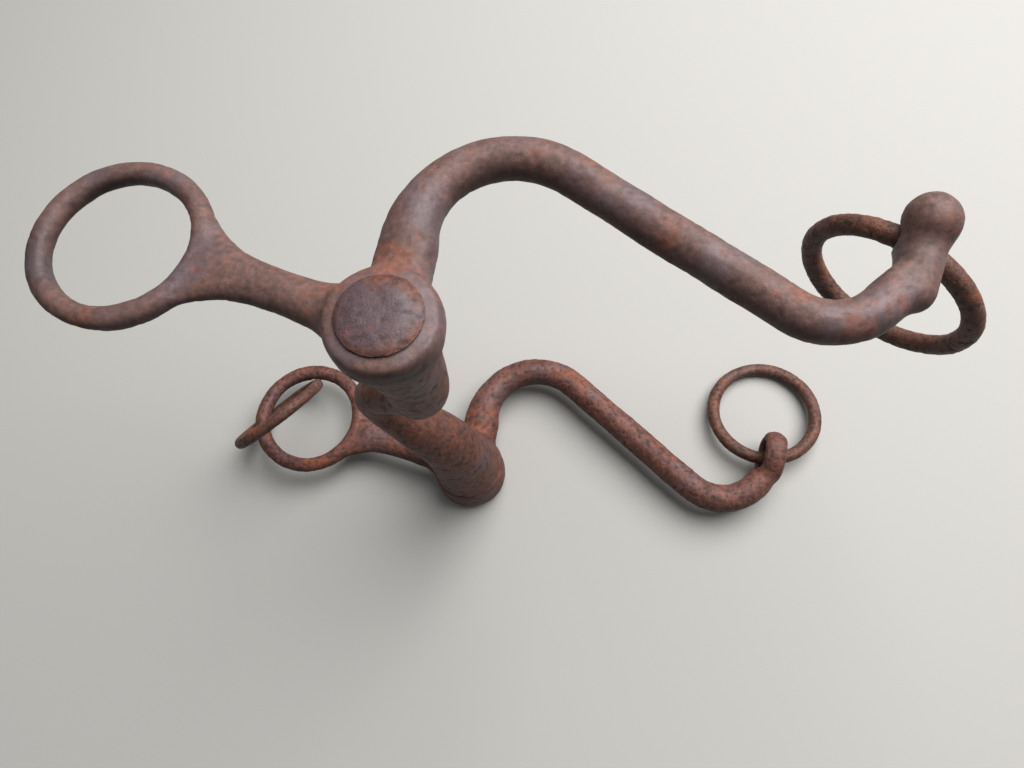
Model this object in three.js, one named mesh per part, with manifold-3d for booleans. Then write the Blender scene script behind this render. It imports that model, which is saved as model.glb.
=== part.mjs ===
// Forged iron curb bit: two S-shanked cheeks riveted to a ported mouthpiece, with loose rings.
// Millimetres. +Z runs up the mouthpiece, +X towards the rein rings, +Y to the hump of the shanks.
// The origin is on the lower tenon's axis, at the flat head that the bit stands on.
import * as THREE from "three";
import { mergeVertices } from "three/addons/utils/BufferGeometryUtils.js";
import Module from "manifold-3d";

const wasm = await Module();
wasm.setup();

// Overall sizes.
const mouthWidth = 127; // between the middles of the two cheeks
const bossHalf = 7; // half the boss's thickness
const headRise = 2; // how far a tenon's hammered head stands off the boss
const seam = 0.3; // clearance between pieces that touch
const ringGap = 0.6; // under a rein ring's wire in its eye

// Bridle eye, at the short end of a cheek.
const bandRadius = 18.1; // middle of the band
const bandWide = 2.8; // half its width
const bandThick = 2.8; // half its thickness

// Neck between the bridle eye and the boss: [share of the eye-to-boss line, half width, half thickness].
const neckSections = [
  [0.26, 11.6, 2.3],
  [0.3, 9.6, 2.6],
  [0.35, 7.4, 3.0],
  [0.43, 5.0, 3.3],
  [0.53, 4.1, 3.6],
  [0.65, 4.0, 4.1],
  [0.76, 4.4, 4.6],
  [0.83, 6.2, 5.0],
  [0.92, 9.0, 5.2],
];

// Boss, tenon and head.
const bossRadius = 12.4;
const tenonRadius = 5;
const headRadius = 9.2;
const headFlat = 8.2; // flat the hammer left in the middle of a head

// Rein eye, a stubby ring that stands square to the cheek.
const reinHole = 5.2;
const reinWall = 4.0;
const eyeClear = 0.1; // between the lower eye and the ground

// Each cheek's own bends, in the plan of the bit.
const lowerBends = {
  boss: [0, 0],
  bridleEye: [-59.7, 21.0],
  hump: { centre: [23.8, 17.3], radius: 19.9 },
  heel: { centre: [88.2, 4.2], radius: 15.9, turn: 60 },
  tail: 0.3, // straight from the heel's end to the rein eye's wall
  eyeTurn: 76, // compass direction that the rein eye's end points in
  eyeHalf: 3.9, // half the rein eye's length along its hole
  barRadius: 5.0,
  heelRadius: 4.8, // the shank tapers to this at its rein eye
  neckStout: 0, // added to the neck's half width
  neckBow: 0, // sideways bend of the neck, towards the hump
  bossInner: 12, // the boss narrows to this radius at the mouthpiece's shoulder
};
const upperBends = {
  boss: [-2, -5.2],
  bridleEye: [-61.6, 17.6],
  hump: { centre: [22.7, 14.3], radius: 21.3 },
  heel: { centre: [86.4, 7.2], radius: 13.3, turn: 54 },
  tail: 7.6,
  eyeTurn: 70,
  eyeHalf: 4.4,
  barRadius: 5.2,
  heelRadius: 4.5,
  neckStout: 0.8,
  neckBow: 0.9,
  bossInner: 9.8,
};

// Mouthpiece: [share of the span between the bosses, sideways reach, bar radius].
const portTurn = 162; // compass direction of the port's reach, from +X towards +Y
const barSections = [
  [0, 0, 11.7],
  [0.07, 0.3, 10.4],
  [0.17, 1.8, 9.3],
  [0.26, 3.9, 8.6],
  [0.345, 8.6, 7.8],
  [0.43, 15.6, 6.4],
  [0.505, 19.0, 5.5],
  [0.575, 17.6, 5.4],
  [0.645, 9.0, 5.7],
  [0.71, 1.4, 7.0],
  [0.8, 0.1, 8.0],
  [1, 0, 9.2],
];

// Loose rings: middle-of-wire radius and wire radius.
const upperRein = { radius: 19.4, wire: 2.4, bearing: 138, swing: -6 };
const lowerRein = { radius: 18, wire: 2.25, bearing: 88 };
const curb = { radius: 17, wire: 2, bearing: 130, lean: 31, side: 185, tuck: 8.97 };

// Smoothness.
const barSides = 20;
const mouthSides = 28;
const eyeSides = 12;
const wireSides = 12;

const lowerMiddle = headRise + bossHalf;
const upperMiddle = lowerMiddle + mouthWidth;
const reinMiddle = reinHole + reinWall / 2; // middle-of-wall radius of a rein eye

// A rein eye stands inward of its shank as far as it must for the lower one to clear the ground.
const reinLift = Math.max(0, reinHole + reinWall + eyeClear - lowerMiddle);

const iron = (color, roughness) =>
  new THREE.MeshStandardMaterial({ color, roughness, metalness: 0.35 });
const cheekIron = iron(0x6b4238, 0.85);
const barIron = iron(0x573930, 0.85);
const ringIron = iron(0x744634, 0.9);

const at = (x, y, z) => new THREE.Vector3(x, y, z);
const onPlan = ([x, y]) => at(x, y, 0);

// A closed skin over a list of equal rings of points, capped at both ends.
function skin(rings) {
  const sides = rings[0].length;
  const points = rings.flat();
  const faces = [];
  for (let i = 0; i + 1 < rings.length; i++)
    for (let j = 0; j < sides; j++) {
      const a = i * sides + j;
      const b = i * sides + ((j + 1) % sides);
      faces.push(a, b, a + sides, b, b + sides, a + sides);
    }
  const last = (rings.length - 1) * sides;
  for (let j = 1; j + 1 < sides; j++) {
    faces.push(0, j + 1, j);
    faces.push(last, last + j, last + j + 1);
  }
  const geometry = new THREE.BufferGeometry().setFromPoints(points);
  geometry.setIndex(faces);
  return geometry;
}

// A ring of points round a station of a bar, whose forward way is side x up.
function oval(middle, side, up, halfSide, halfUp, sides = barSides) {
  const ring = [];
  for (let i = 0; i < sides; i++) {
    const angle = (2 * Math.PI * (i + 0.5)) / sides;
    ring.push(
      middle
        .clone()
        .addScaledVector(side, halfSide * Math.cos(angle))
        .addScaledVector(up, halfUp * Math.sin(angle)),
    );
  }
  return ring;
}

function solidOf(geometry) {
  const bare = geometry.clone();
  bare.deleteAttribute("normal");
  bare.deleteAttribute("uv");
  const merged = mergeVertices(bare, 1e-4);
  return new wasm.Manifold(
    new wasm.Mesh({
      numProp: 3,
      vertProperties: merged.attributes.position.array,
      triVerts: new Uint32Array(merged.index.array),
    }),
  );
}

function geometryOf(solid) {
  const { vertProperties, triVerts } = solid.getMesh();
  const geometry = new THREE.BufferGeometry();
  geometry.setAttribute("position", new THREE.BufferAttribute(vertProperties, 3));
  geometry.setIndex(new THREE.BufferAttribute(triVerts, 1));
  const flat = geometry.toNonIndexed();
  flat.computeVertexNormals();
  return flat;
}

// A turned shape about Z from a closed profile of [radius, height].
function turned(profile, sides) {
  const points = profile.map(([r, z]) => new THREE.Vector2(r, z));
  return new THREE.LatheGeometry(points, sides).rotateX(Math.PI / 2);
}

// A torus-like band about Z with an oval section.
function band(radius, halfWide, halfThick, around, sides) {
  const profile = [];
  for (let i = 0; i <= sides; i++) {
    const angle = (2 * Math.PI * (i % sides)) / sides;
    profile.push([radius + halfWide * Math.cos(angle), halfThick * Math.sin(angle)]);
  }
  return turned(profile, around);
}

// Middle line of a shank: boss, hump, straight run, heel, then the tail to the rein eye.
function shankLine({ boss, hump, heel, tail }) {
  const humpCentre = onPlan(hump.centre);
  const heelCentre = onPlan(heel.centre);
  const between = heelCentre.clone().sub(humpCentre);
  const lean = Math.atan2(between.y, between.x);
  const humpEnd = lean + Math.acos((hump.radius + heel.radius) / between.length());
  const heelEnd = THREE.MathUtils.degToRad(heel.turn - 90);
  const line = [onPlan(boss)];
  const humpSteps = 15;
  for (let i = 0; i <= humpSteps; i++) {
    const angle = Math.PI + ((humpEnd - Math.PI) * i) / humpSteps;
    line.push(at(Math.cos(angle), Math.sin(angle), 0).multiplyScalar(hump.radius).add(humpCentre));
  }
  const heelSteps = 11;
  const heelStart = humpEnd - Math.PI;
  const heelPoint = (angle) =>
    at(Math.cos(angle), Math.sin(angle), 0).multiplyScalar(heel.radius).add(heelCentre);
  const runStart = line[line.length - 1];
  const runEnd = heelPoint(heelStart);
  for (const share of [0.25, 0.5, 0.75]) line.push(runStart.clone().lerp(runEnd, share));
  for (let i = 0; i <= heelSteps; i++)
    line.push(heelPoint(heelStart + ((heelEnd - heelStart) * i) / heelSteps));
  const tailWay = at(-Math.sin(heelEnd), Math.cos(heelEnd), 0);
  const eye = line[line.length - 1].clone().addScaledVector(tailWay, tail + reinMiddle);
  return { line, tailWay, eye };
}

// Where a shank's rein eye is, and the compass direction that its hole runs in.
function reinEye(bends, middle, inward) {
  return {
    centre: shankLine(bends).eye.setZ(middle + inward * reinLift),
    holeTurn: THREE.MathUtils.degToRad(bends.eyeTurn - 90),
  };
}

function shank(bends, inward) {
  const { line, tailWay, eye } = shankLine(bends);
  const { barRadius, heelRadius } = bends;
  const up = at(0, 0, 1);
  const stations = line.slice();
  stations.push(eye.clone().addScaledVector(tailWay, -reinMiddle));
  const count = stations.length;
  const rings = stations.map((point, i) => {
    const before = stations[Math.max(i - 1, 0)];
    const after = stations[Math.min(i + 1, count - 1)];
    const way = after.clone().sub(before).normalize();
    const side = at(-way.y, way.x, 0);
    const swell = Math.max(0, 1 - (i - 1) / 5); // the shank is stoutest where it leaves the boss
    const lift = inward * reinLift * THREE.MathUtils.smoothstep(i, count - 8, count - 1);
    const halfUp = THREE.MathUtils.lerp(barRadius, heelRadius, i / (count - 1));
    return oval(point.clone().setZ(lift), side, up, halfUp + 1.5 * swell, halfUp);
  });
  return skin(rings);
}

function neck({ boss, bridleEye, neckStout, neckBow }) {
  const start = onPlan(bridleEye);
  const end = onPlan(boss);
  const way = end.clone().sub(start).normalize();
  const side = at(-way.y, way.x, 0);
  const up = at(0, 0, 1);
  return skin(
    neckSections.map(([share, halfSide, halfUp]) => {
      const middle = start.clone().lerp(end, share);
      middle.addScaledVector(side, neckBow * Math.sin(Math.PI * share));
      return oval(middle, side, up, halfSide + neckStout, halfUp);
    }),
  );
}

// The boss is widest towards its outer face, and narrows to the mouthpiece's shoulder.
function bossDisc({ bossInner }, inward) {
  const round = 2.2;
  const outline = [
    [0, -bossHalf],
    [bossRadius - round, -bossHalf],
    [bossRadius - round * 0.3, -bossHalf + round * 0.3],
    [bossRadius, -bossHalf + round],
    [bossRadius, -bossHalf * 0.1],
    [(bossRadius + bossInner) / 2, bossHalf * 0.6],
    [bossInner, bossHalf],
    [0, bossHalf],
  ];
  if (inward > 0) return turned(outline, 48);
  return turned(outline.map(([r, z]) => [r, -z]).reverse(), 48);
}

// A straight plug that clears a hole along Z.
function plug(radius, reach, sides) {
  const profile = [
    [0, -reach],
    [radius, -reach],
    [radius, reach],
    [0, reach],
  ];
  return turned(profile, sides);
}

// One cheek in its own plan, its middle at z = 0. "inward" is the way to the mouth, +1 or -1.
function cheek(bends, inward) {
  const moved = (geometry, [x, y]) => geometry.translate(x, y, 0);
  const eyeBand = moved(band(bandRadius, bandWide, bandThick, 48, eyeSides), bends.bridleEye);
  const eyePlug = moved(plug(bandRadius, 8, 48), bends.bridleEye);
  const { centre, holeTurn } = reinEye(bends, 0, inward);
  const reinBand = band(reinMiddle, reinWall / 2, bends.eyeHalf, 32, eyeSides)
    .rotateY(Math.PI / 2)
    .rotateZ(holeTurn)
    .translate(centre.x, centre.y, centre.z);
  const bore = moved(plug(tenonRadius + seam, bossHalf + 3, 28), bends.boss);
  return solidOf(neck(bends))
    .subtract(solidOf(eyePlug))
    .add(solidOf(eyeBand))
    .add(solidOf(moved(bossDisc(bends, inward), bends.boss)))
    .add(solidOf(shank(bends, inward)))
    .add(solidOf(reinBand))
    .subtract(solidOf(bore));
}

// The mouthpiece is one skin: head, tenon, cannon, port, cannon, tenon, head.
function mouthpiece() {
  const lowerShoulder = lowerMiddle + bossHalf + seam;
  const upperShoulder = upperMiddle - bossHalf - seam;
  const lowerHead = lowerMiddle - bossHalf - seam;
  const upperHead = upperMiddle + bossHalf + seam;
  const top = upperHead + headRise - seam;
  const foot = onPlan(lowerBends.boss);
  const crown = onPlan(upperBends.boss);
  const reach = THREE.MathUtils.degToRad(portTurn);
  const bow = at(Math.cos(reach), Math.sin(reach), 0);
  const knots = barSections.map(([share, out, radius]) => {
    const axis = foot.clone().lerp(crown, share).addScaledVector(bow, out);
    return { middle: axis.setZ(THREE.MathUtils.lerp(lowerShoulder, upperShoulder, share)), radius };
  });
  const curve = new THREE.CatmullRomCurve3(knots.map((knot) => knot.middle));
  const east = at(1, 0, 0);
  const north = at(0, 1, 0);
  const level = (base, z, radius) => oval(base.clone().setZ(z), east, north, radius, radius, mouthSides);
  const rings = [
    level(foot, 0, headFlat),
    level(foot, 0.45, headRadius),
    level(foot, lowerHead, headRadius),
    level(foot, lowerHead, tenonRadius),
    level(foot, lowerShoulder, tenonRadius),
    level(foot, lowerShoulder, barSections[0][2]),
  ];
  const steps = 44;
  for (let i = 1; i < steps; i++) {
    const share = i / steps;
    const middle = curve.getPoint(share);
    const way = curve.getTangent(share);
    const side = north.clone().cross(way).normalize();
    const up = way.clone().cross(side);
    const place = share * (knots.length - 1);
    const low = Math.floor(place);
    const blend = THREE.MathUtils.smoothstep(place - low, 0, 1);
    const radius = THREE.MathUtils.lerp(knots[low].radius, knots[low + 1].radius, blend);
    rings.push(oval(middle, side, up, radius, radius, mouthSides));
  }
  rings.push(
    level(crown, upperShoulder, barSections[barSections.length - 1][2]),
    level(crown, upperShoulder, tenonRadius),
    level(crown, upperHead, tenonRadius),
    level(crown, upperHead, headRadius),
    level(crown, top - 0.45, headRadius),
    level(crown, top, headFlat),
  );
  return skin(rings);
}

// A loose ring whose wire runs level through "seat", with its middle out along "way" from there.
function looseRing({ radius, wire }, seat, tangent, way) {
  const normal = tangent.clone().cross(way).normalize();
  const ring = band(radius, wire, wire, 56, wireSides);
  ring.applyQuaternion(new THREE.Quaternion().setFromUnitVectors(at(0, 0, 1), normal));
  const middle = seat.clone().addScaledVector(way, radius);
  return ring.translate(middle.x, middle.y, middle.z);
}

// The upper ring hangs down across its bearing, and rust holds it a little out of plumb.
function upperRing(seat) {
  const across = THREE.MathUtils.degToRad(upperRein.bearing);
  const tangent = at(Math.cos(across), Math.sin(across), 0);
  const way = at(0, 0, -1).applyAxisAngle(tangent, THREE.MathUtils.degToRad(upperRein.swing));
  return looseRing(upperRein, seat, tangent, way);
}

// The lower ring lies out along its bearing, down from the eye to the ground.
function lowerRing(seat) {
  const { radius, wire, bearing } = lowerRein;
  const out = THREE.MathUtils.degToRad(bearing);
  const drop = Math.asin((seat.z - wire - seam) / (2 * radius));
  const flat = Math.cos(drop);
  const way = at(flat * Math.cos(out), flat * Math.sin(out), -Math.sin(drop));
  return looseRing(lowerRein, seat, at(Math.sin(out), -Math.cos(out), 0), way);
}

function curbRing() {
  const across = THREE.MathUtils.degToRad(curb.bearing);
  const lean = THREE.MathUtils.degToRad(curb.lean);
  const flat = Math.cos(lean);
  const normal = at(flat * Math.cos(across), flat * Math.sin(across), Math.sin(lean));
  const ring = band(curb.radius, curb.wire, curb.wire, 56, wireSides);
  ring.applyQuaternion(new THREE.Quaternion().setFromUnitVectors(at(0, 0, 1), normal));
  const height = curb.radius * flat + curb.wire + seam; // its lowest point is just off the ground
  const side = THREE.MathUtils.degToRad(curb.side);
  const out = bandRadius - curb.tuck; // from the bridle eye's middle to the ring's
  const [eyeX, eyeY] = lowerBends.bridleEye;
  return ring.translate(eyeX + out * Math.cos(side), eyeY + out * Math.sin(side), height);
}

function named(name, geometry, material) {
  const mesh = new THREE.Mesh(geometry, material);
  mesh.name = name;
  return mesh;
}

const lowerCheek = named("lower_cheek", geometryOf(cheek(lowerBends, 1)), cheekIron);
lowerCheek.position.z = lowerMiddle;
const upperCheek = named("upper_cheek", geometryOf(cheek(upperBends, -1)), cheekIron);
upperCheek.position.z = upperMiddle;

// A ring's wire lies on the bottom of the hole it hangs in.
const seatIn = (eye, wire) => eye.centre.clone().setZ(eye.centre.z - (reinHole - wire - ringGap));
const upperSeat = seatIn(reinEye(upperBends, upperMiddle, -1), upperRein.wire);
const lowerSeat = seatIn(reinEye(lowerBends, lowerMiddle, 1), lowerRein.wire);

const bit = new THREE.Group();
bit.add(lowerCheek);
bit.add(upperCheek);
bit.add(named("mouthpiece", mouthpiece(), barIron));
bit.add(named("upper_rein_ring", upperRing(upperSeat), ringIron));
bit.add(named("lower_rein_ring", lowerRing(lowerSeat), ringIron));
bit.add(named("curb_ring", curbRing(), ringIron));

export default bit;
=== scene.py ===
# Forged iron curb bit, rusted all over: two S-shanked cheeks, a ported mouthpiece, three loose rings.
# The origin is the foot of the lower tenon, and +Z runs up the mouthpiece. The scene is in metres;
# the pieces' dictionaries are in millimetres, and a value written with mm is already in metres.
import math

import bmesh
import bpy
import numpy as np
from mathutils import Matrix, Vector, noise


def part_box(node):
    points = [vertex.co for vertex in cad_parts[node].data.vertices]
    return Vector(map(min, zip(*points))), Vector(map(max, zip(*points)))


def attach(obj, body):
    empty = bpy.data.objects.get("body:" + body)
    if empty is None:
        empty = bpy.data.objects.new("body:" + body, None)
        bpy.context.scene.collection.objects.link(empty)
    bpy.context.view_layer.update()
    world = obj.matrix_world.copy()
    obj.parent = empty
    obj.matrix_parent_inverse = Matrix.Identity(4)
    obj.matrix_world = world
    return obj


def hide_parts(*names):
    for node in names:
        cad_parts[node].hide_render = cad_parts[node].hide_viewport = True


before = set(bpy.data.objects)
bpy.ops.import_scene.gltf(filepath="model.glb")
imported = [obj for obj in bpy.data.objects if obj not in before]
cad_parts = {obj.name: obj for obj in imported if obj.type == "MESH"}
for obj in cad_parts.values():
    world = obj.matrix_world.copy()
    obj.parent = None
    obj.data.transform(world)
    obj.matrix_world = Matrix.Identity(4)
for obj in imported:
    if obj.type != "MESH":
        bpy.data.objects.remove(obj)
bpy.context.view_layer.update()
mm = 0.001


def linear(*screen):  # a screen colour, 0 to 255, as light
    shares = [(level, level / 255) for level in screen]
    light = [share / 12.92 if level < 11 else ((share + 0.055) / 1.055) ** 2.4 for level, share in shares]
    return (*light, 1)


def smoothstep(low, high, value):
    t = np.clip((value - low) / (high - low), 0, 1)
    return t * t * (3 - 2 * t)


viewpoint = {
    "place": (0.03203, -0.07145, 0.27435),
    "right": (0.99795, 0.0, -0.06404),
    "up": (0.02333, 0.93130, 0.36349),
    "back": (0.05964, -0.36424, 0.92939),
    "lens": 27.07,
    "sensor": 36,
    "clip": (0.005, 20),
}
daylight = {
    "sky": (0.88, 0.89, 0.9),
    "skyStrength": 0.26,
    "panelPlace": (0.32, 0.27, 0.67),
    "panelAim": (0.03, 0.01, 0.06),
    "panelSize": 0.85,
    "panelPower": 14.5,
    "floorColour": (160, 158, 154),
    "floorRough": 0.9,
    "floorHalf": 4,
}


def placeCamera():
    lensData = bpy.data.cameras.new("bitCamera")
    lensData.lens = viewpoint["lens"]
    lensData.sensor_fit = "HORIZONTAL"
    lensData.sensor_width = viewpoint["sensor"]
    lensData.clip_start, lensData.clip_end = viewpoint["clip"]
    camera = bpy.data.objects.new("bitCamera", lensData)
    bpy.context.scene.collection.objects.link(camera)
    turn = Matrix((viewpoint["right"], viewpoint["up"], viewpoint["back"])).transposed()
    camera.matrix_world = Matrix.Translation(viewpoint["place"]) @ turn.to_4x4()
    bpy.context.scene.camera = camera


def placeLight():
    world = bpy.data.worlds.new("overcast")
    bpy.context.scene.world = world
    world.use_nodes = True
    sky = world.node_tree.nodes["Background"]
    sky.inputs["Color"].default_value = daylight["sky"] + (1,)
    sky.inputs["Strength"].default_value = daylight["skyStrength"]
    panelData = bpy.data.lights.new("softPanel", "AREA")
    panelData.shape = "DISK"
    panelData.size = daylight["panelSize"]
    panelData.energy = daylight["panelPower"]
    panel = bpy.data.objects.new("softPanel", panelData)
    bpy.context.scene.collection.objects.link(panel)
    aim = Vector(daylight["panelAim"]) - Vector(daylight["panelPlace"])
    panel.location = daylight["panelPlace"]
    panel.rotation_euler = aim.to_track_quat("-Z", "Y").to_euler()


def placeFloor():
    work = bmesh.new()
    bmesh.ops.create_grid(work, x_segments=1, y_segments=1, size=daylight["floorHalf"])
    mesh = bpy.data.meshes.new("floor")
    work.to_mesh(mesh)
    work.free()
    floor = bpy.data.objects.new("floor", mesh)
    bpy.context.scene.collection.objects.link(floor)
    pale = bpy.data.materials.new("paleFloor")
    pale.use_nodes = True
    surface = pale.node_tree.nodes["Principled BSDF"]
    surface.inputs["Base Color"].default_value = linear(*daylight["floorColour"])
    surface.inputs["Roughness"].default_value = daylight["floorRough"]
    mesh.materials.append(pale)


placeCamera()
placeLight()
placeFloor()
bpy.context.scene.view_settings.view_transform = "Standard"
print("camera, light and floor are in")


class Link:  # a shader socket that can stand in a sum
    def __init__(self, socket):
        self.socket = socket

    @staticmethod
    def node(tree, kind, settings, inputs, out=0):
        made = tree.nodes.new(kind)
        for name, value in settings.items():
            setattr(made, name, value)
        for name, value in inputs.items():
            if isinstance(value, Link):
                tree.links.new(value.socket, made.inputs[name])
            else:
                made.inputs[name].default_value = value
        return Link(made.outputs[out])

    def maths(self, operation, first, second):
        inputs = {0: first, 1: second}
        return Link.node(self.socket.id_data, "ShaderNodeMath", {"operation": operation}, inputs)

    def __add__(self, other):
        return self.maths("ADD", self, other)

    def __radd__(self, other):
        return self.maths("ADD", other, self)

    def __sub__(self, other):
        return self.maths("SUBTRACT", self, other)

    def __rsub__(self, other):
        return self.maths("SUBTRACT", other, self)

    def __mul__(self, other):
        return self.maths("MULTIPLY", self, other)

    def __rmul__(self, other):
        return self.maths("MULTIPLY", other, self)

    def between(self, low, high):  # 0 under low, 1 over high, eased
        settings = {"interpolation_type": "SMOOTHSTEP"}
        inputs = {"Value": self, "From Min": low, "From Max": high}
        return Link.node(self.socket.id_data, "ShaderNodeMapRange", settings, inputs)

    # a colour mix takes its share in socket 0 and its colours in 6 and 7, and gives the mix in output 2
    def towards(self, colour, share):  # a colour mixed with another
        inputs = {0: share, 6: self, 7: colour}
        return Link.node(self.socket.id_data, "ShaderNodeMix", {"data_type": "RGBA"}, inputs, 2)

    def shaded(self, amount):  # a colour multiplied by a grey value
        grey = Link.node(self.socket.id_data, "ShaderNodeCombineColor", {}, {0: amount, 1: amount, 2: amount})
        settings = {"data_type": "RGBA", "blend_type": "MULTIPLY"}
        return Link.node(self.socket.id_data, "ShaderNodeMix", settings, {0: 1.0, 6: self, 7: grey}, 2)


rustGrain = {
    "broad": (17, 3, 0.55),  # each cloud's size in mm, its detail and its roughness
    "stain": (6.5, 4, 0.6),
    "fleck": (1.5, 4, 0.62),
    "grain": (0.42, 3, 0.6),
    "driftSkew": 2.3,
    "spotCore": 0.25,  # a spot is at its full strength within this share of its reach
    "bloomStain": 0.8,  # what the orange bloom is made of
    "bloomBroad": 0.2,
    "bloomCrust": -0.1,
    "bloomLift": 0.05,
    "orangeEase": 0.16,
    "slateEase": 0.2,
    "slateLeast": 0.35,
    "slateFleck": 0.9,
    "middling": (0.3, 0.7),  # where a cloud passes from low to high
    "pitCrust": (0.05, 0.5),
    "poreEdge": (0.1, 0.36),
    "poreFleck": (0.42, 0.66),
    "ochreFleck": (0.55, 0.72),
    "stainPatch": 0.28,
    "fleckPatch": 0.18,
    "orangeRough": 0.16,
    "slateRough": 0.12,
    "grainRough": 0.3,
    "pitRough": 0.2,
    "fleckRise": 0.5,
    "grainRise": 0.34,
    "speckDip": 0.5,
    "biteDepth": 0.28 * mm,
    "metal": 0.12,
}


def rustedIron(name, look):
    material = bpy.data.materials.new(name)
    material.use_nodes = True
    tree = material.node_tree
    surface = tree.nodes["Principled BSDF"]
    place = Link.node(tree, "ShaderNodeTexCoord", {}, {}, 3)  # the piece's own coordinates
    place = Link.node(tree, "ShaderNodeVectorMath", {"operation": "SCALE"}, {0: place, "Scale": 1 / mm})
    drift = look["drift"]
    away = (drift, rustGrain["driftSkew"] * drift, -drift)
    shifted = Link.node(tree, "ShaderNodeVectorMath", {"operation": "ADD"}, {0: place, 1: away})

    def cloud(name, where=shifted):
        size, detail, rough = rustGrain[name]
        inputs = {"Vector": where, "Scale": 1 / size, "Detail": detail, "Roughness": rough}
        return Link.node(tree, "ShaderNodeTexNoise", {}, inputs)

    broad = cloud("broad")
    stain = cloud("stain", place)
    fleck = cloud("fleck")
    grain = cloud("grain")
    crust = Link.node(tree, "ShaderNodeAttribute", {"attribute_name": "crust"}, {}, 2)
    pores = Link.node(tree, "ShaderNodeTexVoronoi", {}, {"Vector": shifted, "Scale": 1 / look["poreSize"]})

    def around(value, spots):  # the value raised near each spot: its place, reach and strength
        for spot, reach, strength in spots:
            far = Link.node(tree, "ShaderNodeVectorMath", {"operation": "DISTANCE"}, {0: place, 1: spot}, 1)
            value = value + (1 - far.between(reach * rustGrain["spotCore"], reach)) * strength
        return value

    # orange bloom gathers in chosen places and wherever the stain runs high
    stained = stain * rustGrain["bloomStain"] + broad * rustGrain["bloomBroad"]
    bloom = around(stained + crust * rustGrain["bloomCrust"] + rustGrain["bloomLift"], look["blooms"])
    orange = bloom.between(look["orangeFrom"], look["orangeFrom"] + rustGrain["orangeEase"])
    bare = around(broad, look["bareSpots"])
    slate = bare.between(look["slateFrom"], look["slateFrom"] + rustGrain["slateEase"])
    slate = slate * (rustGrain["slateLeast"] + rustGrain["slateFleck"] * fleck)
    pit = (1 - crust.between(*rustGrain["pitCrust"])) * look["pitShare"]
    speck = (1 - pores.between(*rustGrain["poreEdge"])) * fleck.between(*rustGrain["poreFleck"])

    middling = rustGrain["middling"]
    browns = {0: fleck.between(*middling), 6: look["brown"], 7: look["redBrown"]}
    colour = Link.node(tree, "ShaderNodeMix", {"data_type": "RGBA"}, browns, 2)
    colour = colour.towards(look["slate"], slate)
    colour = colour.towards(look["orange"], orange * look["orangeShare"])
    ochre = orange * fleck.between(*rustGrain["ochreFleck"])
    colour = colour.towards(look["ochre"], ochre * look["ochreShare"])
    colour = colour.towards(look["soot"], pit)
    colour = colour.towards(look["soot"], speck * look["speckShare"])
    patches = stain.between(*middling) * rustGrain["stainPatch"]
    patches = patches + fleck.between(*middling) * rustGrain["fleckPatch"]
    mottle = grain.between(*middling) * look["grainShare"] + patches * look["patchShare"]
    # painted shade: the colour is darkened on the sides turned to -Y and down, and around listed spots, where
    # shade falls
    paintedShadeSide = Link.node(tree, "ShaderNodeAttribute", {"attribute_name": "paintedShadeSide"}, {}, 2)
    paintedShade = around(paintedShadeSide * look["paintedShadeShare"], look["paintedShadeSpots"])
    colour = colour.shaded((mottle + look["depth"]) * (1 - paintedShade))

    rough = look["rough"] + orange * rustGrain["orangeRough"] - slate * rustGrain["slateRough"]
    rough = rough + (grain - 0.5) * rustGrain["grainRough"] + pit * rustGrain["pitRough"]
    height = fleck * rustGrain["fleckRise"] + grain * rustGrain["grainRise"] - speck * rustGrain["speckDip"]
    bumpInputs = {"Strength": look["bite"], "Distance": rustGrain["biteDepth"], "Height": height}
    bump = Link.node(tree, "ShaderNodeBump", {}, bumpInputs)
    tree.links.new(colour.socket, surface.inputs["Base Color"])
    tree.links.new(rough.socket, surface.inputs["Roughness"])
    tree.links.new(bump.socket, surface.inputs["Normal"])
    surface.inputs["Metallic"].default_value = rustGrain["metal"]
    surface.inputs["Specular IOR Level"].default_value = look["sheen"]
    return material


upperRust = {
    "drift": 3.0,
    "depth": 0.66,
    "patchShare": 0.6,
    # painted shade: how strongly the sides turned to -Y and down are darkened
    "paintedShadeShare": 0.6,
    "brown": linear(90, 68, 63),
    "redBrown": linear(109, 79, 72),
    "slate": linear(97, 82, 86),
    "orange": linear(132, 72, 46),
    "ochre": linear(146, 94, 52),
    "soot": linear(44, 31, 29),
    "orangeFrom": 0.55,
    "orangeShare": 0.4,
    "ochreShare": 0.34,
    "slateFrom": 0.45,
    "pitShare": 0.22,
    "speckShare": 0.12,
    "poreSize": 1.0,
    "grainShare": 0.1,
    "rough": 0.6,
    "bite": 0.34,
    "sheen": 0.34,
    "bareSpots": [
        ((-3, -6, 143), 12, 0.14),
        ((-80, 18, 137), 12, 0.12),
        ((8, 16, 138), 8, 0.08),
        ((61, 5, 138), 9, 0.14),
        ((98, -1, 138), 6, 0.1),
    ],
    # painted shade: spots darkened where shade falls, on the left of the bridle eye, inside its top, on the
    # hump's left and at the tail
    "paintedShadeSpots": [
        ((-80, 14, 138), 15, 0.36),
        ((-66, 30, 137), 9, 0.25),
        ((4, 16, 140), 11, 0.22),
        ((103, 6, 140), 8, 0.14),
    ],
    "blooms": [
        ((-2, 8, 141), 9, 0.2),
        ((-15, 1, 139), 9, 0.08),
        ((-40, 8, 139), 7, 0.12),
        ((-66, 0, 137), 6, 0.1),
        ((38, 31, 141), 7, 0.1),
        ((53, 13, 141), 8, 0.07),
        ((79, -3, 141), 8, 0.09),
        ((90, -10, 139), 8, 0.17),
        ((96, -3, 141), 6, 0.1),
        ((109, 12, 141), 6, 0.09),
    ],
}
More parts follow.
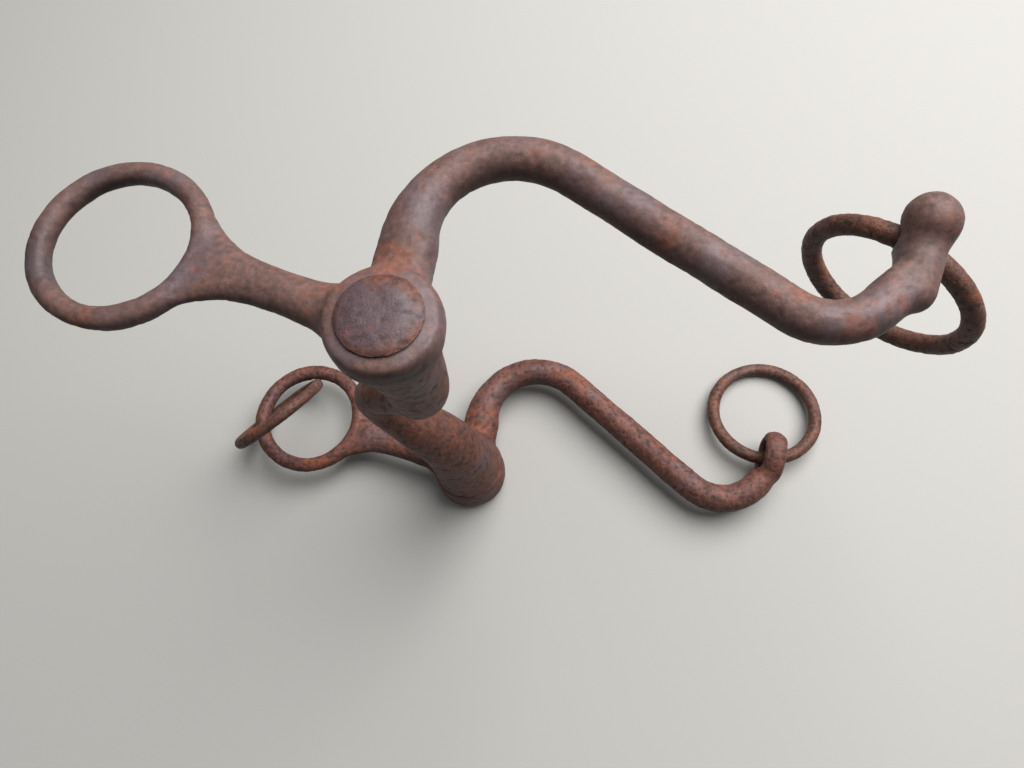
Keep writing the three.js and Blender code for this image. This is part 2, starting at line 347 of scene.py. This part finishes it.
lowerRust = {
    **upperRust,
    "drift": 41.0,
    # painted shade: how strongly the sides turned to -Y and down are darkened
    "paintedShadeShare": 0.5,
    "depth": 0.48,
    "patchShare": 1.0,
    "brown": linear(84, 53, 46),
    "redBrown": linear(114, 68, 57),
    "slate": linear(100, 75, 76),
    "orange": linear(130, 72, 47),
    "orangeFrom": 0.54,
    "orangeShare": 0.6,
    "slateFrom": 0.5,
    "poreSize": 0.8,
    "pitShare": 0.55,
    "speckShare": 0.5,
    "grainShare": 0.3,
    "rough": 0.58,
    "bite": 0.9,
    "bareSpots": [],
    # painted shade: spots on the lower cheek darkened where shade falls
    "paintedShadeSpots": [((24, 37, 12), 8, 0.2), ((-14, 3, 12), 9, 0.2)],
    "sheen": 0.38,
    "blooms": [
        ((39, 34, 12), 9, 0.2),
        ((3, 16, 12), 11, 0.13),
        ((-42, 7, 11), 8, 0.16),
        ((-56, 3, 11), 9, 0.16),
        ((64, 11, 13), 7, 0.12),
        ((72, 3, 13), 7, 0.08),
        ((10, -5, 14), 9, 0.1),
    ],
}
mouthRust = {
    **lowerRust,
    "drift": 77.0,
    # painted shade: how strongly the sides turned to -Y and down are darkened
    "paintedShadeShare": 0.25,
    "depth": 0.54,
    "brown": linear(88, 54, 44),
    "redBrown": linear(114, 70, 56),
    "slate": linear(80, 67, 74),
    "patchShare": 0.6,
    "speckShare": 0.3,
    "bite": 0.55,
    "poreSize": 1.0,
    "orangeFrom": 0.56,
    "bareSpots": [((-3, -7, 145), 11, 0.3)],
    # painted shade: a spot at the tenon head darkened where shade falls
    "paintedShadeSpots": [((-2, -5, 145), 11, 0.12)],
    "blooms": [((8, -4, 22), 9, 0.08), ((-14, 2, 70), 14, 0.04)],
}
ringRust = {
    **lowerRust,
    "drift": 113.0,
    "depth": 0.42,
    "brown": linear(78, 50, 42),
    "redBrown": linear(108, 67, 52),
    "orange": linear(134, 78, 50),
    "orangeFrom": 0.52,
    "slateFrom": 0.55,
    "paintedShadeSpots": [],
    "blooms": [],
}


def settled(obj):  # the mesh that the modifiers make, kept as the object's own
    depsgraph = bpy.context.evaluated_depsgraph_get()
    mesh = bpy.data.meshes.new_from_object(obj.evaluated_get(depsgraph))
    obj.modifiers.clear()
    old = obj.data
    obj.data = mesh
    bpy.data.meshes.remove(old)


def reskin(obj, cell):
    step = obj.modifiers.new("reskin", "REMESH")
    step.mode = "VOXEL"
    step.voxel_size = cell


def swell(obj, amount):
    step = obj.modifiers.new("swell", "DISPLACE")
    step.strength = amount
    step.mid_level = 0


def relax(obj, rounds):
    step = obj.modifiers.new("relax", "SMOOTH")
    step.factor = 0.5
    step.iterations = rounds


def heading(turn):  # a level direction, at this angle from +X
    return math.cos(turn), math.sin(turn), 0


def boreMiddle(eye):
    return Vector(eye["middle"]) + Vector((0, 0, eye["wireRise"]))


def ballEnd(mesh, eye):  # the shank's tail ends in a ball, made as beads that the reskin joins
    middle = Vector(eye["middle"])
    tail = Vector(heading(eye["turn"]))
    work = bmesh.new()
    work.from_mesh(mesh)
    bmesh.ops.remove_doubles(work, verts=work.verts[:], dist=eye["weld"] * mm)
    near = [v for v in work.verts if v.co.x > eye["near"] * mm]
    kept = set(near)
    edges = [e for e in work.edges if all(v in kept for v in e.verts)]
    faces = [f for f in work.faces if all(v in kept for v in f.verts)]
    cut = (middle + tail * eye["cutAt"]) * mm
    bmesh.ops.bisect_plane(work, geom=near + edges + faces, plane_co=cut, plane_no=tail, clear_outer=True)
    bmesh.ops.holes_fill(work, edges=[e for e in work.edges if e.is_boundary])
    bmesh.ops.triangulate(work, faces=work.faces[:])
    steps = eye["beadSteps"]
    for (out, rise, radius), (nextOut, nextRise, nextRadius) in zip(eye["beads"], eye["beads"][1:]):
        for i in range(steps + 1):
            share = i / steps
            lift = Vector((0, 0, rise + (nextRise - rise) * share))
            place = Matrix.Translation((middle + tail * (out + (nextOut - out) * share) + lift) * mm)
            size = (radius + (nextRadius - radius) * share) * mm
            bmesh.ops.create_icosphere(work, subdivisions=eye["beadFacets"], radius=size, matrix=place)
    work.to_mesh(mesh)
    work.free()


def drill(obj, eye):  # the hole that the rein ring's wire runs through
    turn = Vector(heading(eye["wireTurn"])).to_track_quat("Z", "Y").to_matrix().to_4x4()
    work = bmesh.new()
    bmesh.ops.create_cone(
        work,
        cap_ends=True,
        cap_tris=False,
        segments=eye["boreFacets"],
        radius1=eye["bore"] * mm,
        radius2=eye["bore"] * mm,
        depth=eye["boreLength"] * mm,
        matrix=Matrix.Translation(boreMiddle(eye) * mm) @ turn,
    )
    mesh = bpy.data.meshes.new("drill")
    work.to_mesh(mesh)
    work.free()
    tool = bpy.data.objects.new("drill", mesh)
    bpy.context.scene.collection.objects.link(tool)
    step = obj.modifiers.new("drill", "BOOLEAN")
    step.operation = "DIFFERENCE"
    step.solver = "EXACT"
    step.object = tool
    settled(obj)
    bpy.data.objects.remove(tool)
    bpy.data.meshes.remove(mesh)


def clearWire(places, eye):  # keeps the hole's sides off the wire, which curves away from the hole's axis
    wire = np.array(Vector(heading(eye["wireTurn"])))
    offset = places / mm - np.array(boreMiddle(eye))
    along = offset @ wire
    across = offset - along[:, None] * wire
    reach = np.maximum(np.linalg.norm(across, axis=1), 1e-6)
    need = eye["clear"] + along**2 / (2 * eye["ringRadius"])
    inBore = np.abs(along) < eye["boreLength"] / 2
    push = np.where(inBore & (reach < need), need / reach - 1, 0)
    return places + across * push[:, None] * mm


def smoothed(obj, make):  # the faceted body as one even skin, with its corners rounded
    cell = make["cell"] * mm * 1
    reskin(obj, cell)
    if make["fillet"]:  # swelling and shrinking back rounds the inside corners only
        relax(obj, make["roundsBefore"])
        swell(obj, make["fillet"] * mm)
        reskin(obj, cell * make["swollenCoarser"])
        relax(obj, make["roundsSwollen"])
        swell(obj, -make["fillet"] * mm)
        if "eye" in make:
            drill(obj, make["eye"])
        reskin(obj, cell)
    relax(obj, make["rounds"])
    settled(obj)


def rows(items, field):  # a point's three numbers to a row
    values = np.empty(len(items) * 3)
    items.foreach_get(field, values)
    return values.reshape(-1, 3)


def weathered(mesh, places, make, limits):  # hammer marks, scale and pits, and the crust mask and the painted-shade mask that the rust material reads
    normals = rows(mesh.vertex_normals, "vector")
    shift = Vector(make["shift"])
    points = [Vector(p) / mm + shift for p in places]
    hammered = np.array([noise.fractal(p / make["hammerSize"], *make["hammerNoise"]) for p in points])
    scaled = np.array([noise.fractal(p / make["scaleSize"], *make["scaleNoise"]) for p in points])
    eaten = np.array([noise.noise(p / make["pitSize"]) for p in points])
    pits = smoothstep(*make["pitEdge"], eaten)
    lift = make["hammer"] * hammered + make["scale"] * scaled - make["pit"] * pits - make["sink"]
    low, high = (np.array(corner) for corner in limits)
    mesh.vertices.foreach_set("co", np.clip(places + normals * (lift * mm)[:, None], low, high).ravel())

    # painted shade mask: points on sides turned to -Y and down get higher values, and the rust material
    # darkens them as shade
    towardsY, towardsZ = make["paintedShadeFacing"]
    turned = towardsY * normals[:, 1] + towardsZ * normals[:, 2]
    for layer, values in (
        ("crust", np.clip(0.5 + 0.5 * scaled - make["pitCrust"] * pits, 0, 1)),
        ("paintedShadeSide", smoothstep(0, make["paintedShadeFull"], turned)),
    ):
        mesh.attributes.new(layer, "FLOAT", "POINT").data.foreach_set("value", values.astype(np.float32))


def forged(name, node, body, make, look):
    obj = bpy.data.objects.new(name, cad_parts[node].data.copy())
    obj.data.materials.clear()
    bpy.context.scene.collection.objects.link(obj)
    if "eye" in make:
        ballEnd(obj.data, make["eye"])
    smoothed(obj, make)
    mesh = obj.data
    places = rows(mesh.vertices, "co")
    if "shape" in make:
        places = make["shape"](places)
    weathered(mesh, places, make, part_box(node))
    mesh.shade_smooth()
    mesh.materials.append(rustedIron(name + "Rust", look))
    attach(obj, body)
    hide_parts(node)
    print(name, "has", len(places), "points")


forging = {
    "cell": 0.5,
    "quickCoarser": 1.8,
    "fillet": 2.6,
    "roundsBefore": 3,
    "swollenCoarser": 1.2,
    "roundsSwollen": 2,
    "rounds": 10,
    "hammer": 0.2,
    "hammerSize": 11,
    "hammerNoise": (1.0, 2.0, 2),
    "scale": 0.07,
    "scaleSize": 2.2,
    "scaleNoise": (0.8, 2.1, 3),
    "pit": 0.1,
    "pitSize": 1.6,
    "pitEdge": (0.22, 0.6),
    "pitCrust": 0.55,
    "sink": 0.05,
    "shift": (11, 4, 0),
    "paintedShadeFacing": (-0.85, -0.5),  # painted shade: the sides turned to -Y and down are darkened as if in shade
    # painted shade: how far a side must turn away before its darkening is full
    "paintedShadeFull": 0.8,
}
upperCheek = {**forging}
lowerCheek = {**forging, "scale": 0.12, "scaleSize": 1.7, "pit": 0.16, "pitSize": 1.4, "shift": (50, 9, 30)}
riveting = {
    "axis": (-2 * mm, -5.2 * mm),
    "flat": 4 * mm,
    "rim": 9.3 * mm,
    "dome": 0.9 * mm,
    "headFrom": 143.2 * mm,
    "headTo": 144.6 * mm,
    "lip": 1.3 * mm,
    "lipEnd": 12.4 * mm,
    "lipFrom": 142 * mm,
    "lipTo": 143.4 * mm,
}


def bossLip(places):  # the upper boss's inner edge is beaten in over the rim of the tenon's head
    offset = places[:, :2] - np.array(riveting["axis"])
    reach = np.maximum(np.linalg.norm(offset, axis=1), mm)
    level = smoothstep(riveting["lipFrom"], riveting["lipTo"], places[:, 2])
    pull = riveting["lip"] * level * (1 - smoothstep(riveting["rim"], riveting["lipEnd"], reach))
    places[:, :2] -= offset * (pull / reach)[:, None]
    return places


def roundEnd(places, eye):  # draws the outer end of a rein eye in to a ball
    tail = np.array(heading(eye["turn"])[:2])
    along = np.array((tail[1], -tail[0]))
    plan = places[:, :2] / mm - np.array(eye["middle"])
    outward = plan @ tail
    sideways = plan @ along
    reach = np.clip((outward - eye["from"]) / (eye["to"] - eye["from"]), 0, 1)
    narrow = np.sqrt(np.clip(1 - reach**2, eye["tip"], 1))
    inEye = np.abs(sideways) < eye["half"]
    moved = np.where(inEye, sideways * (narrow - 1), 0)
    places[:, :2] += moved[:, None] * along * mm
    return places


upperEye = {
    "middle": (105.86, 11.36, 136),
    "turn": math.radians(70),
    "wireTurn": math.radians(138),
    "weld": 0.005,
    "near": 95,  # only what lies beyond this X is cut
    "cutAt": -8.5,
    "beads": [(-12, 0, 4.4), (-7, 0, 4.6), (-3, -0.8, 5.1), (0.4, -2.6, 5.4), (3.46, 2.5, 5.8)],
    "beadSteps": 4,
    "beadFacets": 3,
    "wireRise": -2.5,
    "bore": 3.0,
    "boreLength": 18,
    "boreFacets": 48,
    "clear": 2.65,
    "ringRadius": 19.4,
}
lowerEye = {
    "middle": (105.72, 2.75),
    "turn": math.radians(76),
    "from": 5.2,
    "to": 9.7,
    "half": 7,
    "tip": 0.01,  # keeps the very end from closing to a point
}
upperCheek["eye"] = upperEye
upperCheek["shape"] = lambda places: bossLip(clearWire(places, upperEye))
lowerCheek["shape"] = lambda places: roundEnd(places, lowerEye)
forged("upperCheekForging", "upper_cheek", "bit", upperCheek, upperRust)
forged("lowerCheekForging", "lower_cheek", "bit", lowerCheek, lowerRust)


def hammerHead(places):  # the upper tenon's head is beaten to a low dome
    offset = places[:, :2] - np.array(riveting["axis"])
    reach = np.linalg.norm(offset, axis=1)
    level = smoothstep(riveting["headFrom"], riveting["headTo"], places[:, 2])
    places[:, 2] -= riveting["dome"] * level * smoothstep(riveting["flat"], riveting["rim"], reach)
    return places


mouthpiece = {
    **forging,
    "fillet": 0,
    "rounds": 22,
    "shift": (5, 80, 12),
    "shape": hammerHead,
}
forged("mouthpieceForging", "mouthpiece", "bit", mouthpiece, mouthRust)


ringWire = {
    **forging,
    "cell": 0.38,
    "fillet": 0,
    "rounds": 4,
    "hammer": 0.14,
    "hammerSize": 9,
    "scale": 0.08,
    "scaleSize": 1.5,
    "pit": 0.12,
    "pitSize": 1.2,
    "sink": 0.0,
}
for node, shift, title in (
    ("upper_rein_ring", (3, 60, 7), "upperReinRing"),
    ("lower_rein_ring", (70, 2, 55), "lowerReinRing"),
    ("curb_ring", (22, 31, 90), "curbRing"),
):
    look = {**ringRust, "drift": ringRust["drift"] + shift[0]}
    forged(title + "Wire", node, node, {**ringWire, "shift": shift}, look)
